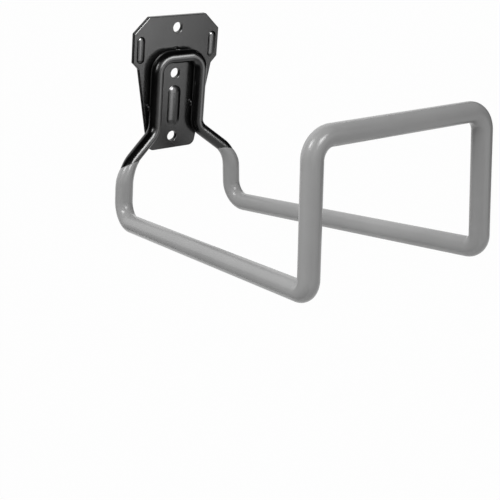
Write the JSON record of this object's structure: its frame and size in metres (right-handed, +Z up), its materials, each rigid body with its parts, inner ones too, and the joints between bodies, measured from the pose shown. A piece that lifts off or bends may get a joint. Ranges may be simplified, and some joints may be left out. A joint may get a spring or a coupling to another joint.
{
  "type": "hose hanger",
  "caption": "Wall hanger for a coiled garden hose: screw-on steel plate with a bent rod loop whose rising arms and upright front frame are plastic dipped.",
  "frame": {"origin": "on the plate's back face, on its centre line, midway between the top and bottom screw holes", "axes": "+Y into the wall, so the arms reach out towards -Y; +Z up; X across, and the part is the same on both sides of X = 0"},
  "size_m": [0.1276, 0.2188, 0.1263],
  "materials": {
    "powder_coat": "gloss",
    "vinyl_dip": "satin"
  },
  "bodies": {
    "root": {"back_plate": "powder_coat", "hanger_rod": "powder_coat", "grip_coating": "vinyl_dip", "weld_tack_crossbar": "powder_coat", "weld_tack_left_outer": "powder_coat", "weld_tack_left_inner": "powder_coat", "weld_tack_right_outer": "powder_coat", "weld_tack_right_inner": "powder_coat"}
  },
  "joints": []
}
